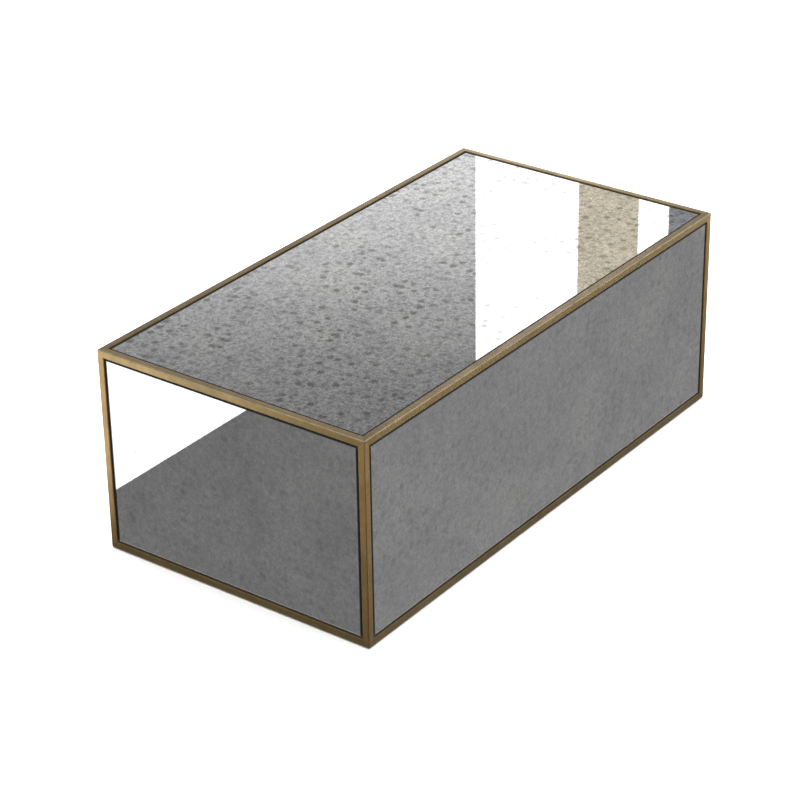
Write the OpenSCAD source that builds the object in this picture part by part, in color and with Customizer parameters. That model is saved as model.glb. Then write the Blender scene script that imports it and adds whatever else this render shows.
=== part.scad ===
// Rectangular mirrored block table: a welded square-tube frame with a mirror
// pane set into every side and the top, backing boards held on welded ledges,
// a base board underneath and four screw-adjusted levelling feet.
// Millimetres, +Z up, X along the table. The origin is on the floor, under
// the middle of the table.

/* [Table] */
// Overall length
table_w = 1200; // [900:10:1600]
// Overall depth
table_d = 630; // [500:10:900]
// Overall height, feet included
table_h = 435; // [350:5:520]
// Gap under the frame with the feet screwed right in
floor_gap = 2; // [1:0.5:4]

/* [Frame tube] */
// Outer size of the square tube
tube = 15; // [15:1:25]
// Wall of the square tube
tube_wall = 1.5; // [1:0.5:2]
// Outer edge radius of the square tube
tube_r = 1.8; // [1:0.2:2]
// Position of the two top cross bars, each side of the middle
bar_x = 195; // [175:5:215]

/* [Mirrors] */
// Thickness of the mirror glass
glass_t = 4; // [3:1:6]
// How far the glass lies below the frame's outer faces
recess = 2; // [1:0.5:3]
// Width of the black sealing joint around each pane
seal_w = 4; // [2:0.5:5]
// How far the seal lies below the arris of the glass
seal_sink = 0.3; // [0.2:0.1:1]
// Polished arris on the front edges of the glass
arris = 0.6; // [0.4:0.2:1.4]
// Thickness of the mounting tape
tape_t = 0.5; // [0.5:0.5:1]

/* [Ledges and boards] */
// Thickness of the welded ledge strips
ledge_t = 2.5; // [2:0.5:3]
// Width of the welded ledge strips
ledge_w = 20; // [18:1:30]
// Clearance between a board and the tubes
board_gap = 1; // [0.5:0.5:2]
// Depth of the base board's face inside the frame
base_recess = 3; // [3:0.5:5]

/* [Levelling feet] */
// Side of the corner plates that carry the feet
plate = 60; // [54:1:80]
// Thickness of the corner plates
plate_t = 4; // [3:1:5]
// Radius of the foot's thread
stem_r = 4; // [4:1:5]
// Radial running clearance of the thread and of the swivel
run = 0.05; // [0.03:0.01:0.08]
// Radius of the foot's pad
pad_r = 16; // [14:1:18]
// Length of the stem above the corner plate's underside
stem_up = 29; // [26:1:34]

/* [Hidden] */

brass = [0.50, 0.42, 0.27];
smoke = [0.55, 0.55, 0.56];
black = [0.07, 0.07, 0.07];
mdf = [0.52, 0.40, 0.27];
zinc = [0.66, 0.67, 0.70];

frame_h = table_h - floor_gap;
mid_z = floor_gap + frame_h / 2;
// Openings between the tubes
open_w = table_w - 2 * tube;
open_d = table_d - 2 * tube;
open_h = frame_h - 2 * tube;
// Depths below the frame's outer faces, going inwards
glass_back = recess + glass_t;
board_face = glass_back + tape_t;
ledge_face = tube - ledge_t;
board_t = ledge_face - board_face;
base_t = ledge_face - base_recess;
// Screws
head_r = 3.4;
head_h = 2.2;
shank_r = 1.75;
edge = 12;
// Screw positions along the edges
long_at = [-1.5 * open_w / 3.9, -0.5 * open_w / 3.9, 0.5 * open_w / 3.9, 1.5 * open_w / 3.9];
short_at = [-open_d / 4, open_d / 4];
tall_at = [-open_h / 4, open_h / 4];
// Foot positions and heights
foot_x = table_w / 2 - tube - plate / 2;
foot_y = table_d / 2 - tube - plate / 2;
sole_t = 1.5;
pad_top = 6.5;
socket_z = 2.5;
axial = 0.3;
collar_z = pad_top + axial;
collar_h = 3.9;
plate_z = collar_z + collar_h + axial;
nut_h = 6.5;
notch = plate + 1.5;
plate_cut = 22;

// Square tube section with its outer corner at the origin
module section() {
    difference() {
        union() {
            translate([tube_r, 0]) square([tube - 2 * tube_r, tube]);
            translate([0, tube_r]) square([tube, tube - 2 * tube_r]);
            for (x = [tube_r, tube - tube_r], y = [tube_r, tube - tube_r])
                translate([x, y]) circle(r = tube_r, $fn = 32);
        }
        translate([tube_wall, tube_wall]) square(tube - 2 * tube_wall);
    }
}

// Mitre outline of a member of length l
module mitre(l) {
    linear_extrude(tube)
        polygon([[-l / 2, 0], [l / 2, 0], [l / 2 - tube, tube], [-l / 2 + tube, tube]]);
}

// Tube along X, outer faces at y = 0 and z = 0, three-way mitres at both ends
module mitred_tube(l) {
    color(brass) intersection() {
        translate([-l / 2, 0, 0]) rotate([90, 0, 90]) linear_extrude(l) section();
        mitre(l);
        translate([0, tube, 0]) rotate([90, 0, 0]) mitre(l);
    }
}

// Rail along X: s is -1 at the front or 1 at the rear
module x_rail(s, top) {
    translate([0, s * table_d / 2, top ? table_h : floor_gap])
        mirror([0, s > 0 ? 1 : 0, 0]) mirror([0, 0, top ? 1 : 0]) mitred_tube(table_w);
}

// Rail along Y: s is -1 at the left or 1 at the right
module y_rail(s, top) {
    translate([s * table_w / 2, 0, top ? table_h : floor_gap])
        mirror([s > 0 ? 1 : 0, 0, 0]) mirror([0, 0, top ? 1 : 0])
            rotate([0, 0, -90]) mitred_tube(table_d);
}

// Post at the corner (sx, sy)
module post(sx, sy) {
    translate([sx * table_w / 2, sy * table_d / 2, mid_z])
        mirror([sx > 0 ? 1 : 0, 0, 0]) mirror([0, sy > 0 ? 1 : 0, 0])
            rotate([0, -90, -90]) mitred_tube(frame_h);
}

// Cross bar under the top board, butt-welded between the long rails
module cross_bar(s) {
    color(brass) translate([s * bar_x - tube / 2, open_d / 2, table_h - ledge_face - tube])
        rotate([90, 0, 0]) linear_extrude(open_d) section();
}

// Puts a panel drawn flat, with depth along +Z, into one side of the frame
module at_side(side) {
    if (side == "top") translate([0, 0, table_h]) rotate([180, 0, 0]) children();
    if (side == "front") translate([0, -table_d / 2, mid_z]) rotate([-90, 0, 0]) children();
    if (side == "rear") translate([0, table_d / 2, mid_z]) rotate([90, 0, 0]) children();
    if (side == "left") translate([-table_w / 2, 0, mid_z]) rotate([0, 90, 0]) children();
    if (side == "right") translate([table_w / 2, 0, mid_z]) rotate([0, -90, 0]) children();
    if (side == "base") translate([0, 0, floor_gap]) children();
}

// Opening sizes and screw positions along the panel's own X and Y
function opening(side) =
    side == "top" || side == "base" ? [open_w, open_d]
    : side == "front" || side == "rear" ? [open_w, open_h]
    : [open_h, open_d];
function along(side) =
    side == "left" || side == "right" ? tall_at : long_at;
function across(side) =
    side == "front" || side == "rear" ? tall_at : short_at;

// Every screw position of one panel
module screw_places(side) {
    o = opening(side);
    for (x = along(side), s = [-1, 1]) translate([x, s * (o[1] / 2 - edge), 0]) children();
    for (y = across(side), s = [-1, 1]) translate([s * (o[0] / 2 - edge), y, 0]) children();
}

module slab(a, b, z, t) {
    translate([-a / 2, -b / 2, z]) cube([a, b, t]);
}

// Mirror pane with a polished arris along its four front edges
module pane(side) {
    o = opening(side);
    a = o[0] - 2 * seal_w;
    b = o[1] - 2 * seal_w;
    cut = arris * sqrt(2);
    color(smoke) at_side(side) difference() {
        slab(a, b, recess, glass_t);
        for (s = [-1, 1]) {
            translate([0, s * b / 2, recess]) rotate([45, 0, 0])
                cube([a + 20, cut, cut], center = true);
            translate([s * a / 2, 0, recess]) rotate([0, 45, 0])
                cube([cut, b + 20, cut], center = true);
        }
    }
}

// Four black sealing strips between the pane's edges and the tubes
module seal(side) {
    o = opening(side);
    z = recess + arris + seal_sink;
    t = board_face - z;
    color(black) at_side(side) for (s = [-1, 1]) {
        translate([-o[0] / 2, s * (o[1] - seal_w) / 2 - seal_w / 2, z]) cube([o[0], seal_w, t]);
        translate([s * (o[0] - seal_w) / 2 - seal_w / 2, -o[1] / 2 + seal_w, z])
            cube([seal_w, o[1] - 2 * seal_w, t]);
    }
}

// Backing board with pilot holes for its screws
module board(side) {
    o = opening(side);
    color(mdf) at_side(side) difference() {
        slab(o[0] - 2 * board_gap, o[1] - 2 * board_gap, board_face, board_t);
        screw_places(side) translate([0, 0, board_face + 0.8])
            cylinder(r = shank_r + 0.05, h = board_t, $fn = 32);
    }
}

// Three strips of tape between one pane and its board
module tape(side) {
    o = opening(side);
    for (y = [-o[1] / 3, 0, o[1] / 3])
        at_side(side) translate([0, y, 0]) slab(o[0] - 90, 25, glass_back, tape_t);
}

module ledge_hole(r) {
    translate([0, 0, ledge_face - 1]) cylinder(r = r, h = ledge_t + 2, $fn = 32);
}

// Welded ledge strips behind one board; the top pair stops at the cross bars
module ledges(side) {
    o = opening(side);
    color(brass) at_side(side) difference() {
        union() {
            for (s = [-1, 1]) {
                translate([0, s * (o[1] - ledge_w) / 2, 0]) slab(o[0], ledge_w, ledge_face, ledge_t);
                translate([s * (o[0] - ledge_w) / 2, 0, 0])
                    slab(ledge_w, o[1] - 2 * ledge_w, ledge_face, ledge_t);
            }
        }
        screw_places(side) ledge_hole(shank_r + 0.25);
        if (side == "top")
            for (s = [-1, 1]) translate([s * bar_x, 0, 0])
                slab(tube, o[1] + 2, ledge_face - 1, ledge_t + 2);
    }
}

// Ledge strips over the base board, between the corner plates
module base_ledges() {
    a = open_w - 2 * plate - 2;
    b = open_d - 2 * plate - 2;
    color(brass) at_side("base") difference() {
        union() {
            for (s = [-1, 1]) {
                translate([0, s * (open_d - ledge_w) / 2, 0]) slab(a, ledge_w, ledge_face, ledge_t);
                translate([s * (open_w - ledge_w) / 2, 0, 0]) slab(ledge_w, b, ledge_face, ledge_t);
            }
        }
        screw_places("base") ledge_hole(shank_r + 0.05);
    }
}

// Base board, notched around the corner plates
module base_board() {
    a = open_w / 2 - board_gap;
    b = open_d / 2 - board_gap;
    na = open_w / 2 - notch;
    nb = open_d / 2 - notch;
    c = plate_cut;
    color(black) at_side("base") difference() {
        translate([0, 0, base_recess]) linear_extrude(base_t)
            polygon([[-na, -b], [na, -b], [na, -nb - c], [na + c, -nb], [a, -nb],
                     [a, nb], [na + c, nb], [na, nb + c], [na, b],
                     [-na, b], [-na, nb + c], [-na - c, nb], [-a, nb],
                     [-a, -nb], [-na - c, -nb], [-na, -nb - c]]);
        screw_places("base") translate([0, 0, base_recess - 1])
            cylinder(r = shank_r + 0.25, h = base_t + 2, $fn = 32);
    }
}

// Pan-head screw pointing up, underside of its head at z = 0, shank of length l
module screw(l) {
    color(zinc) difference() {
        union() {
            translate([0, 0, -0.8]) cylinder(r = head_r, h = 0.8, $fn = 32);
            translate([0, 0, -head_h]) cylinder(r1 = 2.3, r2 = head_r, h = head_h - 0.8, $fn = 32);
            cylinder(r = shank_r, h = l - 1.2, $fn = 32);
            translate([0, 0, l - 1.2]) cylinder(r1 = shank_r, r2 = 0.4, h = 1.2, $fn = 32);
        }
        for (a = [0, 90]) rotate([0, 0, a]) translate([-1.7, -0.4, -head_h - 1]) cube([3.4, 0.8, 2.2]);
    }
}

module panel_screws() {
    for (side = ["top", "front", "rear", "left", "right"])
        at_side(side) screw_places(side) translate([0, 0, tube]) rotate([180, 0, 0])
            screw(ledge_t + board_t - 1.2);
}

module base_screws() {
    at_side("base") screw_places("base") translate([0, 0, base_recess])
        screw(base_t + ledge_t + 1.5);
}

module mounting_tape() {
    color([0.85, 0.85, 0.83])
        for (side = ["top", "front", "rear", "left", "right"]) tape(side);
}

// Corner plate with its inner corner cut off and a hole for the foot
module corner_plate(sx, sy) {
    c = plate / 2;
    color(brass) translate([sx * foot_x, sy * foot_y, plate_z]) difference() {
        mirror([sx < 0 ? 1 : 0, 0, 0]) mirror([0, sy < 0 ? 1 : 0, 0]) linear_extrude(plate_t)
            polygon([[c, -c], [c, c], [-c, c], [-c, -c + plate_cut], [-c + plate_cut, -c]]);
        translate([0, 0, -1]) cylinder(r = stem_r + 0.3, h = plate_t + 2, $fn = 48);
    }
}

// Four hexagonal nuts welded on top of the corner plates
module foot_weld_nuts() {
    color(zinc) for (sx = [-1, 1], sy = [-1, 1])
        translate([sx * foot_x, sy * foot_y, plate_z + plate_t]) difference() {
            cylinder(r = 8.1, h = nut_h, $fn = 6);
            translate([0, 0, -1]) cylinder(r = stem_r + run, h = nut_h + 2, $fn = 48);
        }
}

// Threaded stem with its hexagonal collar; the lower end turns in the pad
module foot_stem(sx, sy) {
    top = plate_z + stem_up;
    color(zinc) translate([sx * foot_x, sy * foot_y, 0]) union() {
        translate([0, 0, socket_z + axial]) cylinder(r = stem_r, h = top - 1 - socket_z - axial, $fn = 48);
        translate([0, 0, top - 1]) cylinder(r1 = stem_r, r2 = stem_r - 1, h = 1, $fn = 48);
        translate([0, 0, collar_z]) cylinder(r = 7.5, h = collar_h, $fn = 6);
    }
}

// Moulded pad with the socket that the stem turns in
module foot_pad(sx, sy) {
    color([0.12, 0.12, 0.12]) translate([sx * foot_x, sy * foot_y, 0])
        rotate_extrude($fn = 64)
            polygon([[0, sole_t], [pad_r, sole_t], [pad_r, 3.6], [pad_r - 1, 4.4],
                     [9.6, pad_top], [stem_r + run, pad_top], [stem_r + run, socket_z], [0, socket_z]]);
}

// Soft sole under the pad
module foot_sole(sx, sy) {
    color([0.25, 0.24, 0.23]) translate([sx * foot_x, sy * foot_y, 0])
        rotate_extrude($fn = 64)
            polygon([[0, 0], [pad_r - 1, 0], [pad_r - 0.6, 0.4], [pad_r - 0.6, sole_t], [0, sole_t]]);
}

x_rail(-1, true);  // top_front_rail
x_rail(1, true);  // top_rear_rail
y_rail(-1, true);  // top_left_rail
y_rail(1, true);  // top_right_rail
post(-1, -1);  // front_left_post
post(1, -1);  // front_right_post
post(-1, 1);  // rear_left_post
post(1, 1);  // rear_right_post
x_rail(-1, false);  // bottom_front_rail
x_rail(1, false);  // bottom_rear_rail
y_rail(-1, false);  // bottom_left_rail
y_rail(1, false);  // bottom_right_rail
cross_bar(-1);  // top_cross_bar_left
cross_bar(1);  // top_cross_bar_right
ledges("top");  // top_ledges
ledges("front");  // front_ledges
ledges("rear");  // rear_ledges
ledges("left");  // left_ledges
ledges("right");  // right_ledges
base_ledges();
corner_plate(-1, -1);  // front_left_corner_plate
corner_plate(1, -1);  // front_right_corner_plate
corner_plate(-1, 1);  // rear_left_corner_plate
corner_plate(1, 1);  // rear_right_corner_plate
foot_weld_nuts();
pane("top");  // top_mirror
pane("front");  // front_mirror
pane("rear");  // rear_mirror
pane("left");  // left_mirror
pane("right");  // right_mirror
seal("top");  // top_seal
seal("front");  // front_seal
seal("rear");  // rear_seal
seal("left");  // left_seal
seal("right");  // right_seal
board("top");  // top_board
board("front");  // front_board
board("rear");  // rear_board
board("left");  // left_board
board("right");  // right_board
mounting_tape();
base_board();
panel_screws();
base_screws();
foot_stem(-1, -1);  // front_left_foot_stem
foot_stem(1, -1);  // front_right_foot_stem
foot_stem(-1, 1);  // rear_left_foot_stem
foot_stem(1, 1);  // rear_right_foot_stem
foot_pad(-1, -1);  // front_left_foot_pad
foot_pad(1, -1);  // front_right_foot_pad
foot_pad(-1, 1);  // rear_left_foot_pad
foot_pad(1, 1);  // rear_right_foot_pad
foot_sole(-1, -1);  // front_left_foot_sole
foot_sole(1, -1);  // front_right_foot_sole
foot_sole(-1, 1);  // rear_left_foot_sole
foot_sole(1, 1);  // rear_right_foot_sole
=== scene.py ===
import math

import bmesh
import bpy
from mathutils import Matrix, Vector


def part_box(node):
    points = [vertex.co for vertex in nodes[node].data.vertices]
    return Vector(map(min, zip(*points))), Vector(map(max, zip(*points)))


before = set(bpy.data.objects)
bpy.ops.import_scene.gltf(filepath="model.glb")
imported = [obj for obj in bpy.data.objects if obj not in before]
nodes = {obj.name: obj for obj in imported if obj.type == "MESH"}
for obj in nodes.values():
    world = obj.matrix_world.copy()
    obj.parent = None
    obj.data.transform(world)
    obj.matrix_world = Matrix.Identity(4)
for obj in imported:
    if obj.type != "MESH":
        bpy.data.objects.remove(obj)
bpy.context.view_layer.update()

scene = bpy.context.scene

# Sizes of the table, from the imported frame
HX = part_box("top_front_rail")[1][0]
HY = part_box("top_left_rail")[1][1]
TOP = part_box("top_front_rail")[1][2]
FLOOR_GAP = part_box("bottom_front_rail")[0][2]
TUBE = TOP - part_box("top_front_rail")[0][2]
PANE_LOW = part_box("front_mirror")[0][2]
PANE_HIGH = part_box("front_mirror")[1][2]
TOP_PANE = (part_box("top_mirror")[1][0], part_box("top_mirror")[1][1])
SIDE_PANES = (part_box("front_mirror")[1][0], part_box("left_mirror")[1][1])


# ---------------------------------------------------------------- node helpers
class Tree:
    """Small helper to write node trees."""

    def __init__(self, material):
        material.use_nodes = True
        self.nt = material.node_tree
        self.nt.nodes.clear()
        self.n = self.nt.nodes
        self.out = self.n.new("ShaderNodeOutputMaterial")

    def node(self, kind, **values):
        made = self.n.new(kind)
        for key, value in values.items():
            setattr(made, key, value)
        return made

    def link(self, a, b):
        self.nt.links.new(a, b)

    def put(self, socket, value):
        if hasattr(value, "links"):
            self.link(value, socket)
        elif value is not None:
            socket.default_value = value

    def math(self, op, a, b=None, c=None, clamp=False):
        m = self.node("ShaderNodeMath", operation=op, use_clamp=clamp)
        self.put(m.inputs[0], a)
        self.put(m.inputs[1], b)
        self.put(m.inputs[2], c)
        return m.outputs[0]

    def coords(self, scale=(1, 1, 1), offset=(0, 0, 0)):
        if not hasattr(self, "object_coords"):
            self.object_coords = self.node("ShaderNodeTexCoord").outputs["Object"]
        mapping = self.node("ShaderNodeMapping")
        mapping.inputs["Scale"].default_value = scale
        mapping.inputs["Location"].default_value = offset
        self.link(self.object_coords, mapping.inputs["Vector"])
        return mapping.outputs[0]

    def noise(self, vector, scale, detail=3.0, rough=0.55, distortion=0.0):
        t = self.node("ShaderNodeTexNoise")
        self.link(vector, t.inputs["Vector"])
        t.inputs["Scale"].default_value = scale
        t.inputs["Detail"].default_value = detail
        t.inputs["Roughness"].default_value = rough
        t.inputs["Distortion"].default_value = distortion
        return t.outputs["Fac"]

    def ramp(self, fac, stops, interpolation="LINEAR"):
        """stops: (position, grey or rgb)"""
        r = self.node("ShaderNodeValToRGB")
        r.color_ramp.interpolation = interpolation
        e = r.color_ramp.elements
        while len(e) < len(stops):
            e.new(0.5)
        for el, (pos, col) in zip(e, stops):
            el.position = pos
            c = (col, col, col) if isinstance(col, (int, float)) else col
            el.color = (*c, 1)
        self.put(r.inputs[0], fac)
        return r.outputs["Color"]

    def step(self, value, a, b, low=0.0, high=1.0):
        m = self.node("ShaderNodeMapRange", interpolation_type="SMOOTHSTEP")
        self.put(m.inputs["Value"], value)
        m.inputs["From Min"].default_value = a
        m.inputs["From Max"].default_value = b
        m.inputs["To Min"].default_value = low
        m.inputs["To Max"].default_value = high
        return m.outputs[0]

    def mix(self, fac, a, b, blend="MIX"):
        m = self.node("ShaderNodeMix", data_type="RGBA", blend_type=blend)
        self.put(m.inputs["Factor"], fac)
        for socket, value in ((m.inputs[6], a), (m.inputs[7], b)):
            if isinstance(value, (int, float)):
                value = (value, value, value, 1)
            elif isinstance(value, (tuple, list)) and len(value) == 3:
                value = (*value, 1)
            self.put(socket, value)
        return m.outputs[2]

    def bump(self, height, strength, distance):
        b = self.node("ShaderNodeBump")
        b.inputs["Strength"].default_value = strength
        b.inputs["Distance"].default_value = distance
        self.link(height, b.inputs["Height"])
        return b.outputs[0]

    def principled(self, **values):
        p = self.node("ShaderNodeBsdfPrincipled")
        for key, value in values.items():
            self.put(p.inputs[key.replace("_", " ")], value)
        self.link(p.outputs[0], self.out.inputs["Surface"])
        return p

    def faces_distance(self):
        """Distances of the shaded point inside the table's outer faces: x, y and z, in metres."""
        self.coords()
        sep = self.node("ShaderNodeSeparateXYZ")
        self.link(self.object_coords, sep.inputs[0])
        dx = self.math("SUBTRACT", HX, self.math("ABSOLUTE", sep.outputs[0]))
        dy = self.math("SUBTRACT", HY, self.math("ABSOLUTE", sep.outputs[1]))
        mid = (TOP + FLOOR_GAP) / 2
        dz = self.math(
            "SUBTRACT",
            (TOP - FLOOR_GAP) / 2,
            self.math("ABSOLUTE", self.math("SUBTRACT", sep.outputs[2], mid)),
        )
        return sep.outputs, dx, dy, dz


def new_material(name):
    m = bpy.data.materials.new(name)
    return m, Tree(m)


# ---------------------------------------------------------------- materials
def make_mirror(name, seed, flecks, axes, grain_by, side):
    """Antiqued mirror: smoky silvering with fine mottling, soft cloudy patches and dark foxing flecks."""
    m, t = new_material(name)
    where = t.coords((1, 1, 1), seed)
    grain = t.noise(where, 270.0, 3.0, 0.65, 0.3)
    mottle = t.noise(where, 95.0, 3.0, 0.62, 0.5)
    cloud = t.noise(where, 8.0, 4.0, 0.6, 0.6)
    # irregular soft flecks: a cell pattern bent by noise, only some of the cells filled
    bend = t.node("ShaderNodeTexNoise")
    t.link(where, bend.inputs["Vector"])
    bend.inputs["Scale"].default_value = 80.0
    bend.inputs["Detail"].default_value = 2.5
    off = t.node("ShaderNodeVectorMath", operation="MULTIPLY_ADD")
    t.link(bend.outputs["Color"], off.inputs[0])
    off.inputs[1].default_value = (0.013, 0.013, 0.013)
    t.link(where, off.inputs[2])
    apart = t.node("ShaderNodeSeparateXYZ")
    t.link(off.outputs[0], apart.inputs[0])
    flat = t.node("ShaderNodeCombineXYZ")
    t.link(apart.outputs[axes[0]], flat.inputs[0])
    t.link(apart.outputs[axes[1]], flat.inputs[1])
    cells = t.node("ShaderNodeTexVoronoi", feature="F1", voronoi_dimensions="2D")
    t.link(flat.outputs[0], cells.inputs["Vector"])
    cells.inputs["Scale"].default_value = 37.0
    cells.inputs["Randomness"].default_value = 1.0
    chosen = t.step(t.node_sep(cells.outputs["Color"]), 0.15, 0.85)
    spot = t.step(cells.outputs["Distance"], 0.14, 0.36, 1.0, 0.0)
    small = t.node("ShaderNodeTexVoronoi", feature="F1", voronoi_dimensions="2D")
    t.link(flat.outputs[0], small.inputs["Vector"])
    small.inputs["Scale"].default_value = 81.0
    small_pick = t.step(t.node_sep(small.outputs["Color"]), 0.25, 0.85, 0.0, 0.72)
    small_spot = t.step(small.outputs["Distance"], 0.08, 0.42, 1.0, 0.0)
    ragged = t.step(t.noise(where, 170.0, 3.0, 0.65), 0.30, 0.58, 0.50, 1.0)
    fleck = t.math("MAXIMUM", t.math("MULTIPLY", spot, chosen), t.math("MULTIPLY", small_spot, small_pick))
    fleck = t.math("MULTIPLY", fleck, ragged, clamp=True)
    gather = t.step(t.noise(where, 5.5, 3.0, 0.6, 0.4), 0.36, 0.62, 0.55, 1.15)
    fleck = t.math("MULTIPLY", fleck, gather, clamp=True)
    # drifts of fine specks gathered in patches
    drift = t.math("MULTIPLY", t.step(t.noise(where, 150.0, 3.0, 0.7), 0.55, 0.75), t.step(t.noise(where, 16.0, 3.0, 0.6), 0.42, 0.68))
    pins = t.node("ShaderNodeTexVoronoi", feature="F1")
    t.link(where, pins.inputs["Vector"])
    pins.inputs["Scale"].default_value = 130.0
    pin_pick = t.step(t.node_sep(pins.outputs["Color"]), 0.80, 0.92)
    pin = t.math("MULTIPLY", t.step(pins.outputs["Distance"], 0.06, 0.24, 1.0, 0.0), pin_pick)

    base = t.ramp(cloud, [(0.30, (0.505, 0.510, 0.510)), (0.70, (0.625, 0.622, 0.615))])
    tone = t.math(
        "ADD",
        t.step(grain, 0.32, 0.68, 0.97 - 0.23 * grain_by, 0.97 + 0.20 * grain_by),
        t.step(mottle, 0.32, 0.68, -0.17 * grain_by, 0.17 * grain_by),
    )
    shade = t.mix(1.0, base, t.grey(tone), "MULTIPLY")
    shade = t.mix(t.math("MULTIPLY", fleck, 0.90 * flecks), shade, (0.150, 0.147, 0.141))
    shade = t.mix(t.math("MULTIPLY", drift, 0.38 * flecks), shade, (0.185, 0.180, 0.170))
    shade = t.mix(t.math("MULTIPLY", pin, 0.45 * flecks), shade, (0.17, 0.155, 0.13))
    rough = t.math("ADD", t.step(mottle, 0.35, 0.75, 0.004, 0.016), t.math("MULTIPLY", fleck, 0.02))
    metallic = 1.0
    if side:
        # the ground lower edge of the glass, painted as a pale line: partly the ground glass's own pale colour,
        # partly a painted highlight, since only the lower edge, which catches the light from above, gets it
        t.coords()
        sep = t.node("ShaderNodeSeparateXYZ")
        t.link(t.object_coords, sep.inputs[0])
        line = t.step(sep.outputs[2], PANE_LOW + 0.0014, PANE_LOW + 0.0019, 1.0, 0.0)
        shade = t.mix(t.math("MULTIPLY", line, t.step(mottle, 0.3, 0.7, 0.80, 1.0)), shade, (0.28, 0.28, 0.285))
        rough = t.math("ADD", rough, t.math("MULTIPLY", line, 0.30))
        metallic = t.math("SUBTRACT", 1.0, line)
        # painted shade along the side and upper edges of the pane, where the gap beside the tubes and the rails'
        # shaded undersides show dark
        reach = SIDE_PANES[axes[0]]
        across = t.math("SUBTRACT", reach, t.math("ABSOLUTE", sep.outputs[axes[0]]))
        up_gap = t.math("SUBTRACT", PANE_HIGH, sep.outputs[2])
        painted_edge_shade = t.math(
            "MAXIMUM",
            t.step(across, 0.0018, 0.0028, 0.95, 0.0),
            t.step(up_gap, 0.0010, 0.0018, 0.95, 0.0),
        )
        shade = t.mix(painted_edge_shade, shade, (0.035, 0.033, 0.031))
    else:
        # painted shade right at the edge of the pane, where the gap beside the tubes shows dark
        t.coords()
        sep = t.node("ShaderNodeSeparateXYZ")
        t.link(t.object_coords, sep.inputs[0])
        ex = t.math("SUBTRACT", TOP_PANE[0], t.math("ABSOLUTE", sep.outputs[0]))
        ey = t.math("SUBTRACT", TOP_PANE[1], t.math("ABSOLUTE", sep.outputs[1]))
        edge = t.step(t.math("MINIMUM", ex, ey), 0.0008, 0.0015, 0.95, 0.0)
        shade = t.mix(edge, shade, (0.03, 0.03, 0.03))
    t.principled(Base_Color=shade, Roughness=rough, Metallic=metallic, Coat_Weight=0.4, Coat_Roughness=0.01)
    return m


def node_sep(self, colour):
    s = self.node("ShaderNodeSeparateColor")
    self.link(colour, s.inputs[0])
    return s.outputs[0]


def grey(self, value):
    c = self.node("ShaderNodeCombineColor")
    for i in range(3):
        self.put(c.inputs[i], value)
    return c.outputs[0]


Tree.node_sep = node_sep
Tree.grey = grey


def make_brass(name, axis):
    """Satin antique brass, brushed along the member and darker in the patina, with painted highlights along the
    rails' arrises, painted dark reflections along the posts' arrises, painted shade on the tops of the long rails
    and painted light that makes the posts brighter.
    """
    m, t = new_material(name)
    long, cross = 7.0, 420.0
    scale = tuple(long if i == axis else cross for i in range(3))
    brush = t.noise(t.coords(scale), 1.0, 3.0, 0.6)
    fine = t.noise(t.coords(tuple(s * 2.2 for s in scale), (3.1, 1.7, 0.4)), 1.0, 2.0, 0.6)
    patina = t.noise(t.coords((1, 1, 1), (0.3, 0.7, 0.1)), 14.0, 4.0, 0.62, 0.5)
    blotch = t.noise(t.coords((1, 1, 1), (1.3, 0.2, 0.6)), 75.0, 3.0, 0.6)
    xyz, dx, dy, dz = t.faces_distance()
    # the second smallest distance is near nothing on an outer arris
    low = t.math("MINIMUM", t.math("MINIMUM", dx, dy), dz)
    high = t.math("MAXIMUM", t.math("MAXIMUM", dx, dy), dz)
    total = t.math("ADD", t.math("ADD", dx, dy), dz)
    second = t.math("SUBTRACT", t.math("SUBTRACT", total, low), high)
    arris = t.step(second, 0.0004, 0.0018, 1.0, 0.0)
    # mitre seams: where the two larger distances are the same, inside a tube's width of a corner
    gap = t.math("SUBTRACT", high, second)
    seam = t.math(
        "MULTIPLY",
        t.step(gap, 0.00022, 0.00060, 1.0, 0.0),
        t.step(high, 0.0150, 0.0156, 1.0, 0.0),
    )
    # the posts take a brighter, more orange copy of the brass base: painted light
    base = t.ramp(
        patina,
        [(0.28, (0.238, 0.160, 0.054)), (0.55, (0.292, 0.201, 0.073)), (0.80, (0.330, 0.238, 0.102))] if axis != 2
        else [(0.28, (0.330, 0.208, 0.068)), (0.55, (0.385, 0.246, 0.086)), (0.80, (0.420, 0.286, 0.114))],
    )
    tone = t.math("ADD", t.step(brush, 0.3, 0.7, 0.86, 1.08), t.step(blotch, 0.3, 0.7, -0.07, 0.06))
    if axis == 0:
        # painted shade: the top faces of the long rails are painted darker
        tone = t.math("MULTIPLY", tone, t.step(xyz[2], TOP - 0.0016, TOP - 0.0004, 1.0, 0.78))
    base = t.mix(1.0, base, t.grey(tone), "MULTIPLY")
    # painted highlight along the outer arrises of the rails, and a painted dark reflection along the arrises of
    # the posts
    wear_and_painted_arris_light = t.math("MULTIPLY", arris, t.step(blotch, 0.25, 0.6, 0.35, 0.9))
    base = t.mix(wear_and_painted_arris_light, base, (0.68, 0.57, 0.40) if axis != 2 else (0.16, 0.100, 0.042))
    base = t.mix(t.math("MULTIPLY", seam, 0.55), base, (0.075, 0.050, 0.022))
    satin = 0.38 if axis != 2 else 0.50
    rough = t.math("ADD", t.step(brush, 0.3, 0.7, satin, satin + 0.09), t.step(patina, 0.3, 0.75, 0.05, -0.03))
    rough = t.math("SUBTRACT", rough, t.math("MULTIPLY", arris, 0.08 if axis != 2 else -0.04))
    height = t.math("ADD", t.math("MULTIPLY", brush, 0.6), t.math("MULTIPLY", fine, 0.4))
    height = t.math("SUBTRACT", height, t.math("MULTIPLY", seam, 1.2))
    t.principled(Base_Color=base, Roughness=rough, Metallic=1.0, Normal=t.bump(height, 0.16, 0.00006), Coat_Weight=0.45, Coat_Roughness=0.32)
    return m


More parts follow.
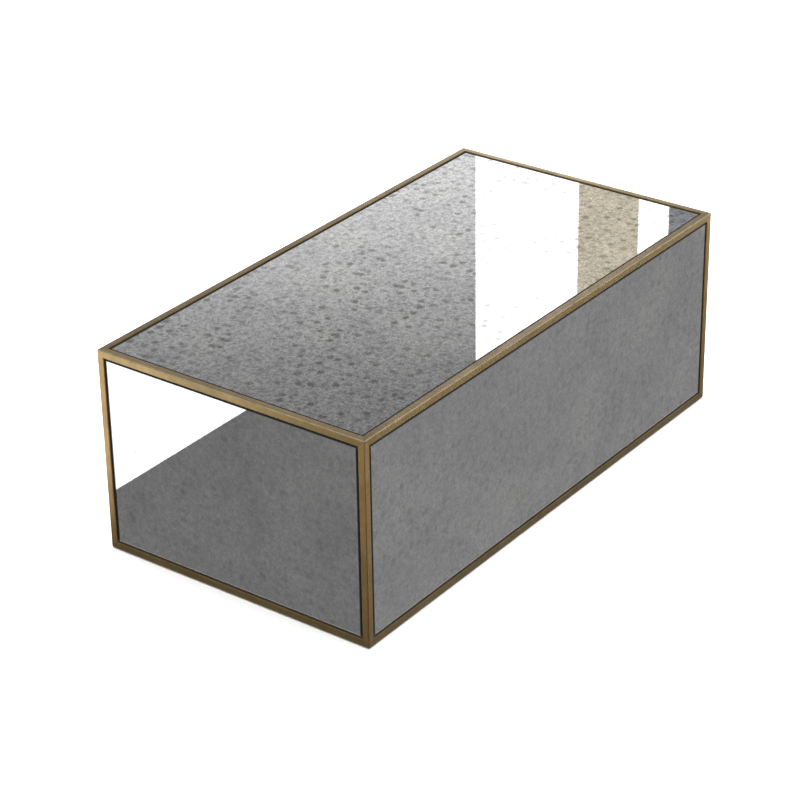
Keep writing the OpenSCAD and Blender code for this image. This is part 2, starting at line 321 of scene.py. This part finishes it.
def make_plain(name, dark, light, rough, scale=220.0, bump=0.0002, metallic=0.0, stretch=(1, 1, 1), coarse=22.0, specular=0.5, dust_below=None):
    """Base for seals, boards, rubber and moulded parts: two-scale grain in colour, roughness and bump."""
    m, t = new_material(name)
    where = t.coords(stretch)
    grain = t.noise(where, scale, 4.0, 0.65)
    patch = t.noise(where, coarse, 3.0, 0.55, 0.3)
    mixed = t.math("ADD", t.math("MULTIPLY", grain, 0.6), t.math("MULTIPLY", patch, 0.4))
    base = t.ramp(mixed, [(0.33, dark), (0.66, light)])
    if dust_below is not None:
        sep = t.node("ShaderNodeSeparateXYZ")
        t.link(t.object_coords, sep.inputs[0])
        settled = t.step(sep.outputs[2], dust_below - 0.0002, dust_below + 0.0004, 1.0, 0.0)
        base = t.mix(t.math("MULTIPLY", settled, t.step(patch, 0.3, 0.7, 0.45, 0.85)), base, (0.075, 0.060, 0.042))
    r = t.step(grain, 0.3, 0.7, rough[0], rough[1])
    t.principled(Base_Color=base, Roughness=r, Metallic=metallic, Specular_IOR_Level=specular, Normal=t.bump(grain, 0.35, bump))
    return m


def make_fibreboard(name):
    m, t = new_material(name)
    fibres = t.noise(t.coords((1, 1, 1)), 420.0, 5.0, 0.7, 0.8)
    strands = t.noise(t.coords((60, 700, 300)), 1.0, 3.0, 0.6)
    patch = t.noise(t.coords((1, 1, 1)), 12.0, 3.0, 0.5)
    mixed = t.math("ADD", t.math("MULTIPLY", fibres, 0.55), t.math("ADD", t.math("MULTIPLY", strands, 0.25), t.math("MULTIPLY", patch, 0.2)))
    base = t.ramp(mixed, [(0.34, (0.22, 0.145, 0.08)), (0.52, (0.36, 0.25, 0.15)), (0.68, (0.47, 0.35, 0.23))])
    t.principled(Base_Color=base, Roughness=t.step(fibres, 0.3, 0.7, 0.75, 0.92), Metallic=0.0, Normal=t.bump(fibres, 0.4, 0.0002))
    return m


def make_black_board(name):
    """Black painted fibreboard with roller stipple, a few rubs and dust."""
    m, t = new_material(name)
    where = t.coords((1, 1, 1))
    stipple = t.noise(where, 520.0, 3.0, 0.6)
    wear_and_painted_arris_light = t.noise(t.coords((3.0, 45.0, 3.0), (0.4, 0.1, 0.2)), 1.0, 5.0, 0.7)
    dust = t.noise(where, 7.0, 5.0, 0.65, 0.4)
    base = t.ramp(stipple, [(0.3, (0.012, 0.012, 0.012)), (0.7, (0.026, 0.026, 0.027))])
    base = t.mix(t.math("MULTIPLY", t.step(wear_and_painted_arris_light, 0.60, 0.78), 0.35), base, (0.085, 0.080, 0.074))
    base = t.mix(t.math("MULTIPLY", t.step(dust, 0.50, 0.80), 0.22), base, (0.10, 0.097, 0.090))
    rough = t.math("ADD", t.step(stipple, 0.3, 0.7, 0.48, 0.62), t.step(dust, 0.45, 0.8, 0.0, 0.14))
    t.principled(Base_Color=base, Roughness=rough, Metallic=0.0, Normal=t.bump(stipple, 0.35, 0.00025))
    return m


def make_zinc(name):
    """Bright zinc plate with faint yellow-blue passivation and tool marks."""
    m, t = new_material(name)
    where = t.coords((1, 1, 1))
    spangle = t.noise(where, 160.0, 3.0, 0.6)
    tint = t.noise(where, 60.0, 2.0, 0.5, 0.5)
    marks = t.noise(t.coords((900, 900, 60)), 1.0, 2.0, 0.6)
    base = t.ramp(tint, [(0.34, (0.50, 0.53, 0.57)), (0.5, (0.60, 0.60, 0.58)), (0.68, (0.62, 0.58, 0.48))])
    base = t.mix(1.0, base, t.grey(t.step(spangle, 0.3, 0.7, 0.82, 1.05)), "MULTIPLY")
    rough = t.step(spangle, 0.3, 0.7, 0.24, 0.42)
    t.principled(Base_Color=base, Roughness=rough, Metallic=1.0, Normal=t.bump(marks, 0.2, 0.00008))
    return m


# one brass copy per axis: the x copy carries painted shade on its tops, the z copy painted light that makes the
# posts brighter
BRASS = [make_brass(f"antique_brass_{'xyz'[a]}", a) for a in range(3)]
MIRROR_FLAT = make_mirror("antiqued_mirror_top", (0.31, 0.77, 0.0), 1.0, (0, 1), 1.35, False)
MIRROR_LONG = make_mirror("antiqued_mirror_long", (0.13, 0.0, 0.42), 0.30, (0, 2), 0.5, True)
MIRROR_SHORT = make_mirror("antiqued_mirror_short", (0.0, 0.57, 0.91), 0.30, (1, 2), 0.5, True)
SEAL = make_plain("black_seal", (0.005, 0.0045, 0.004), (0.014, 0.012, 0.011), (0.70, 0.88), 300.0, 0.00015, specular=0.15, dust_below=PANE_LOW)
RAW = make_fibreboard("raw_fibreboard")
BLACK = make_black_board("black_fibreboard")
TAPE = make_plain("foam_tape", (0.62, 0.62, 0.60), (0.80, 0.80, 0.78), (0.8, 0.95), 600.0, 0.0003)
ZINC = make_zinc("zinc_plate")
NYLON = make_plain("black_nylon", (0.014, 0.014, 0.015), (0.028, 0.028, 0.030), (0.38, 0.55), 450.0, 0.0001)
RUBBER = make_plain("grey_rubber", (0.055, 0.054, 0.052), (0.095, 0.093, 0.090), (0.75, 0.92), 380.0, 0.0003)


def give(node, material):
    o = nodes[node]
    o.data.materials.clear()
    o.data.materials.append(material)


for name in nodes:
    if name.endswith("_mirror"):
        give(name, MIRROR_FLAT if name.startswith("top") else MIRROR_LONG if name[:5] in ("front", "rear_") else MIRROR_SHORT)
    elif name.endswith("_seal"):
        give(name, SEAL)
    elif name == "base_board":
        give(name, BLACK)
    elif name.endswith("_board"):
        give(name, RAW)
    elif name == "mounting_tape":
        give(name, TAPE)
    elif name.endswith("screws") or name.endswith("foot_stem") or name == "foot_weld_nuts":
        give(name, ZINC)
    elif name.endswith("foot_pad"):
        give(name, NYLON)
    elif name.endswith("foot_sole"):
        give(name, RUBBER)
    elif name.endswith("_post"):
        give(name, BRASS[2])
    elif "left_rail" in name or "right_rail" in name or "cross_bar" in name:
        give(name, BRASS[1])
    else:
        give(name, BRASS[0])

# ---------------------------------------------------------------- camera
def camera():
    data = bpy.data.cameras.new("camera")
    cam = bpy.data.objects.new("camera", data)
    scene.collection.objects.link(cam)
    right = Vector((0.59210007, -0.8057329, -0.01456022))
    up = Vector((0.38567527, 0.26746013, 0.88301737))
    back = Vector((-0.70758186, -0.52845016, 0.46911441))
    m = Matrix((right, up, back)).transposed().to_4x4()
    m.translation = Vector((-3.72384467, -2.72760301, 2.61305626))
    cam.matrix_world = m
    data.sensor_width = 36.0
    data.lens = 115.883
    data.clip_start = 0.05
    data.clip_end = 100.0
    scene.camera = cam
    return cam


camera()

# ---------------------------------------------------------------- stage
def plane(name, corners, material):
    me = bpy.data.meshes.new(name)
    me.from_pydata([Vector(c) for c in corners], [], [tuple(range(len(corners)))])
    o = bpy.data.objects.new(name, me)
    scene.collection.objects.link(o)
    me.materials.append(material)
    return o


def only_reflected(o):
    o.visible_camera = False
    o.visible_diffuse = False
    o.visible_shadow = False
    o.visible_transmission = False
    o.visible_volume_scatter = False


def floor_material():
    m, t = new_material("studio_floor")
    n = t.noise(t.coords((1, 1, 1)), 5.0, 3.0, 0.5)
    t.principled(Base_Color=t.ramp(n, [(0.3, 0.865), (0.7, 0.885)]), Roughness=0.9, Metallic=0.0)
    return m


plane("studio_floor", [(-14, -14, 0), (14, -14, 0), (14, 14, 0), (-14, 14, 0)], floor_material())


def glow(name, colour, strength):
    """A plain glowing card, seen only in reflections: a painted reflection."""
    m, t = new_material(name)
    e = t.node("ShaderNodeEmission")
    t.put(e.inputs["Color"], colour if hasattr(colour, "links") else (*colour, 1))
    t.put(e.inputs["Strength"], strength)
    t.link(e.outputs[0], t.out.inputs["Surface"])
    return m, t, e


# world
world = bpy.data.worlds.new("studio_world")
scene.world = world
world.use_nodes = True
bg = world.node_tree.nodes["Background"]
bg.inputs["Color"].default_value = (1.0, 1.0, 1.0, 1)
bg.inputs["Strength"].default_value = 0.55

FWD = Vector((0.8012, 0.5984, 0))
SIDE = Vector((0.5984, -0.8012, 0))
CARDS_AT = 4.0


def card(name, u0, u1, h0, h1, material):
    c = [FWD * CARDS_AT + SIDE * u + Vector((0, 0, h)) for u, h in ((u0, h0), (u1, h0), (u1, h1), (u0, h1))]
    o = plane(name, c, material)
    only_reflected(o)
    return o


def card_place(t):
    """Sideways place and height on the row of cards."""
    t.coords()
    dot = t.node("ShaderNodeVectorMath", operation="DOT_PRODUCT")
    t.link(t.object_coords, dot.inputs[0])
    dot.inputs[1].default_value = SIDE
    sep = t.node("ShaderNodeSeparateXYZ")
    t.link(t.object_coords, sep.inputs[0])
    return dot.outputs["Value"], sep.outputs[2]


def span(v, a, b):
    return (v - a) / (b - a)


# plain glowing cards behind the table, seen only in reflections: a graded grey card, a softbox, a cream panel and
# a grey card; the glowing grey cards and the cream panel are painted reflections
m, t, e = glow("grey_card", (0.5, 0.5, 0.5), 1.0)
u, h = card_place(t)
t.put(e.inputs["Color"], t.grey(t.step(h, 1.6, 2.9, 1.25, 0.36)))
card("grey_card", -3.4, 0.2445, 0.0, 5.0, m)

m, t, e = glow("softbox_face", (1.0, 1.0, 1.0), 2.7)
card("softbox", 0.2445, 0.620, 0.0, 5.0, m)

m, t, e = glow("cream_panel", (0.98, 0.89, 0.70), 0.95)
card("cream_panel", 0.620, 0.840, 0.0, 5.0, m)

m, t, e = glow("grey_card_right", (0.40, 0.41, 0.44), 1.0)
u, h = card_place(t)
t.put(e.inputs["Color"], t.mix(t.step(u, 1.3, 2.7), (0.40, 0.41, 0.435), (0.62, 0.62, 0.62)))
card("grey_card_right", 0.950, 3.0, 0.0, 5.0, m)

m, t, e = glow("softbox_edge", (1.0, 1.0, 1.0), 2.7)
card("softbox_edge", 0.840, 0.950, 0.0, 5.0, m)

# a ring of plain glowing panels further out, seen only in reflections: painted reflections for the table's other
# sides
m, t, e = glow("studio_panels", (0.6, 0.6, 0.6), 1.0)
t.coords()
flat = t.node("ShaderNodeVectorMath", operation="NORMALIZE")
t.link(t.coords((1, 1, 0.0)), flat.inputs[0])
broad = t.noise(flat.outputs[0], 1.6, 1.0, 0.4)
sep = t.node("ShaderNodeSeparateXYZ")
t.link(t.object_coords, sep.inputs[0])
rise = t.step(sep.outputs[2], 0.0, 4.5, 0.78, 1.12)
panel_tone = t.math("MULTIPLY", t.step(broad, 0.35, 0.65, 0.36, 0.98), rise)
t.put(e.inputs["Color"], t.grey(panel_tone))
bm = bmesh.new()
ring = []
for i in range(64):
    a = 2 * math.pi * i / 64
    x, y = 7.0 * math.cos(a), 7.0 * math.sin(a)
    ring.append((bm.verts.new((x, y, 0.0)), bm.verts.new((x, y, 5.2))))
for i in range(64):
    a, b = ring[i], ring[(i + 1) % 64]
    bm.faces.new((a[0], b[0], b[1], a[1]))
me = bpy.data.meshes.new("studio_panels")
bm.to_mesh(me)
bm.free()
me.materials.append(m)
o = bpy.data.objects.new("studio_panels", me)
scene.collection.objects.link(o)
only_reflected(o)

# plain glowing grey cards lying on the floor beside the table, seen only in the mirrors and the brass: a painted
# reflection of a darker floor


def floor_card(name, corners, tone):
    """An even glowing grey card that fades to the pale floor at its outer edge: a painted reflection of a darker
    floor.
    """
    m, t, e = glow(name, (tone, tone, tone), 1.0)
    t.coords()
    sep = t.node("ShaderNodeSeparateXYZ")
    t.link(t.object_coords, sep.inputs[0])
    out_x = t.math("SUBTRACT", t.math("ABSOLUTE", sep.outputs[0]), 1.30)
    out_y = t.math("SUBTRACT", t.math("ABSOLUTE", sep.outputs[1]), 0.86)
    beyond = t.step(t.math("MAXIMUM", out_x, out_y), 0.0, 0.35)
    t.put(e.inputs["Color"], t.mix(beyond, (tone, tone, tone), (1.0, 1.0, 1.0)))
    (x0, y0), (x1, y1) = corners
    only_reflected(plane(name, [(x0, y0, 0.0012), (x1, y0, 0.0012), (x1, y1, 0.0012), (x0, y1, 0.0012)], m))


floor_card("floor_card_left", ((-1.65, -1.21), (-0.60, 0.459)), 0.28)
floor_card("floor_card", ((-0.60, -1.21), (1.65, 1.21)), 0.37)


def area(name, place, target, size, power, colour=(1, 1, 1)):
    data = bpy.data.lights.new(name, "AREA")
    data.shape = "RECTANGLE"
    data.size, data.size_y = size
    data.energy = power
    data.color = colour
    o = bpy.data.objects.new(name, data)
    scene.collection.objects.link(o)
    o.location = place
    o.rotation_euler = (Vector(target) - Vector(place)).to_track_quat("-Z", "Y").to_euler()
    o.visible_glossy = False
    return o


area("overhead", (0.3, 0.2, 3.6), (0, 0, 0), (6.0, 5.0), 480)
area("window_side", (3.4, 1.2, 2.4), (0, 0, 0.2), (2.6, 2.0), 90)

scene.view_settings.view_transform = "Standard"
scene.view_settings.look = "None"
scene.view_settings.exposure = 0.0
scene.view_settings.gamma = 1.0
